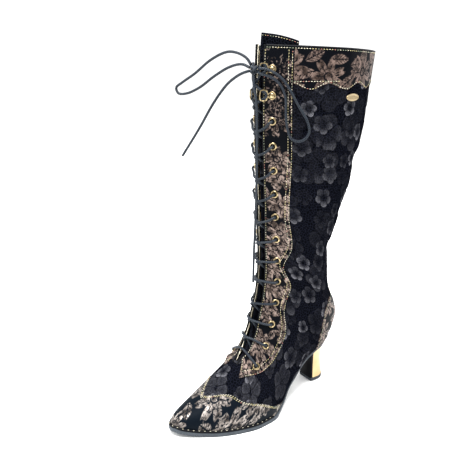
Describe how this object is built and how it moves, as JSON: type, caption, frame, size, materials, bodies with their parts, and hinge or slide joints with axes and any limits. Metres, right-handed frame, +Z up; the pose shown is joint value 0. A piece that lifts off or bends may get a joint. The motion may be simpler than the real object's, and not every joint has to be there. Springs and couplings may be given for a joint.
{
  "type": "laced knee boot",
  "caption": "Black embossed knee boot for the left foot, with printed leather panels, front lacing, side zip and a gold flared heel.",
  "frame": {"origin": "on the floor, under the middle of the boot's box without the free lace", "axes": "+Z up, toe towards -Y, outer side of the left foot towards +X"},
  "size_m": [0.1477, 0.2793, 0.4543],
  "materials": {
    "antique_brass": "antique, rubbed bright",
    "beige_sock": "matt",
    "black_cloth": "matt",
    "black_leather": "semi-matt",
    "embossed_textile": "matt nap, raised blossoms",
    "gold_heel": "metallic gold coat",
    "printed_leather": "black with a champagne foil print",
    "slate_rubber": "matt",
    "waxed_cord": "waxed",
    "zip_tape": "woven",
    "zip_teeth": "coil"
  },
  "bodies": {
    "boot": {"badge_plate": "antique_brass", "counter": "printed_leather", "cuff_back": "printed_leather", "cuff_front": "printed_leather", "eyelet_inner_1": "antique_brass", "eyelet_inner_10": "antique_brass", "eyelet_inner_11": "antique_brass", "eyelet_inner_12": "antique_brass", "eyelet_inner_2": "antique_brass", "eyelet_inner_3": "antique_brass", "eyelet_inner_4": "antique_brass", "eyelet_inner_5": "antique_brass", "eyelet_inner_6": "antique_brass", "eyelet_inner_7": "antique_brass", "eyelet_inner_8": "antique_brass", "eyelet_inner_9": "antique_brass", "eyelet_outer_1": "antique_brass", "eyelet_outer_10": "antique_brass", "eyelet_outer_11": "antique_brass", "eyelet_outer_12": "antique_brass", "eyelet_outer_2": "antique_brass", "eyelet_outer_3": "antique_brass", "eyelet_outer_4": "antique_brass", "eyelet_outer_5": "antique_brass", "eyelet_outer_6": "antique_brass", "eyelet_outer_7": "antique_brass", "eyelet_outer_8": "antique_brass", "eyelet_outer_9": "antique_brass", "eyestay_lateral": "printed_leather", "eyestay_medial": "printed_leather", "heel": "gold_heel", "heel_breast": "black_leather", "insole": "beige_sock", "lace_crossings": "waxed_cord", "lace_end_front": "waxed_cord", "lace_end_left": "waxed_cord", "lace_hook_inner_1": "antique_brass", "lace_hook_inner_2": "antique_brass", "lace_hook_outer_1": "antique_brass", "lace_hook_outer_2": "antique_brass", "lace_knot": "waxed_cord", "lace_loop_left": "waxed_cord", "lace_loop_right": "waxed_cord", "outsole": "slate_rubber", "toe_cap": "printed_leather", "tongue": "black_cloth", "top_piece": "slate_rubber", "upper": "embossed_textile", "welt": "black_leather", "zip_slider": "antique_brass", "zip_tape": "zip_tape", "zip_teeth": "zip_teeth"},
    "zip_pull": {"zip_pull": "antique_brass"}
  },
  "joints": [
    {"name": "pull_swing", "type": "hinge", "parent": "boot", "child": "zip_pull", "pos_m": [-0.06214, 0.0608, 0.4208], "axis": [0, 1, 0], "range_deg": [0, 150]}
  ]
}
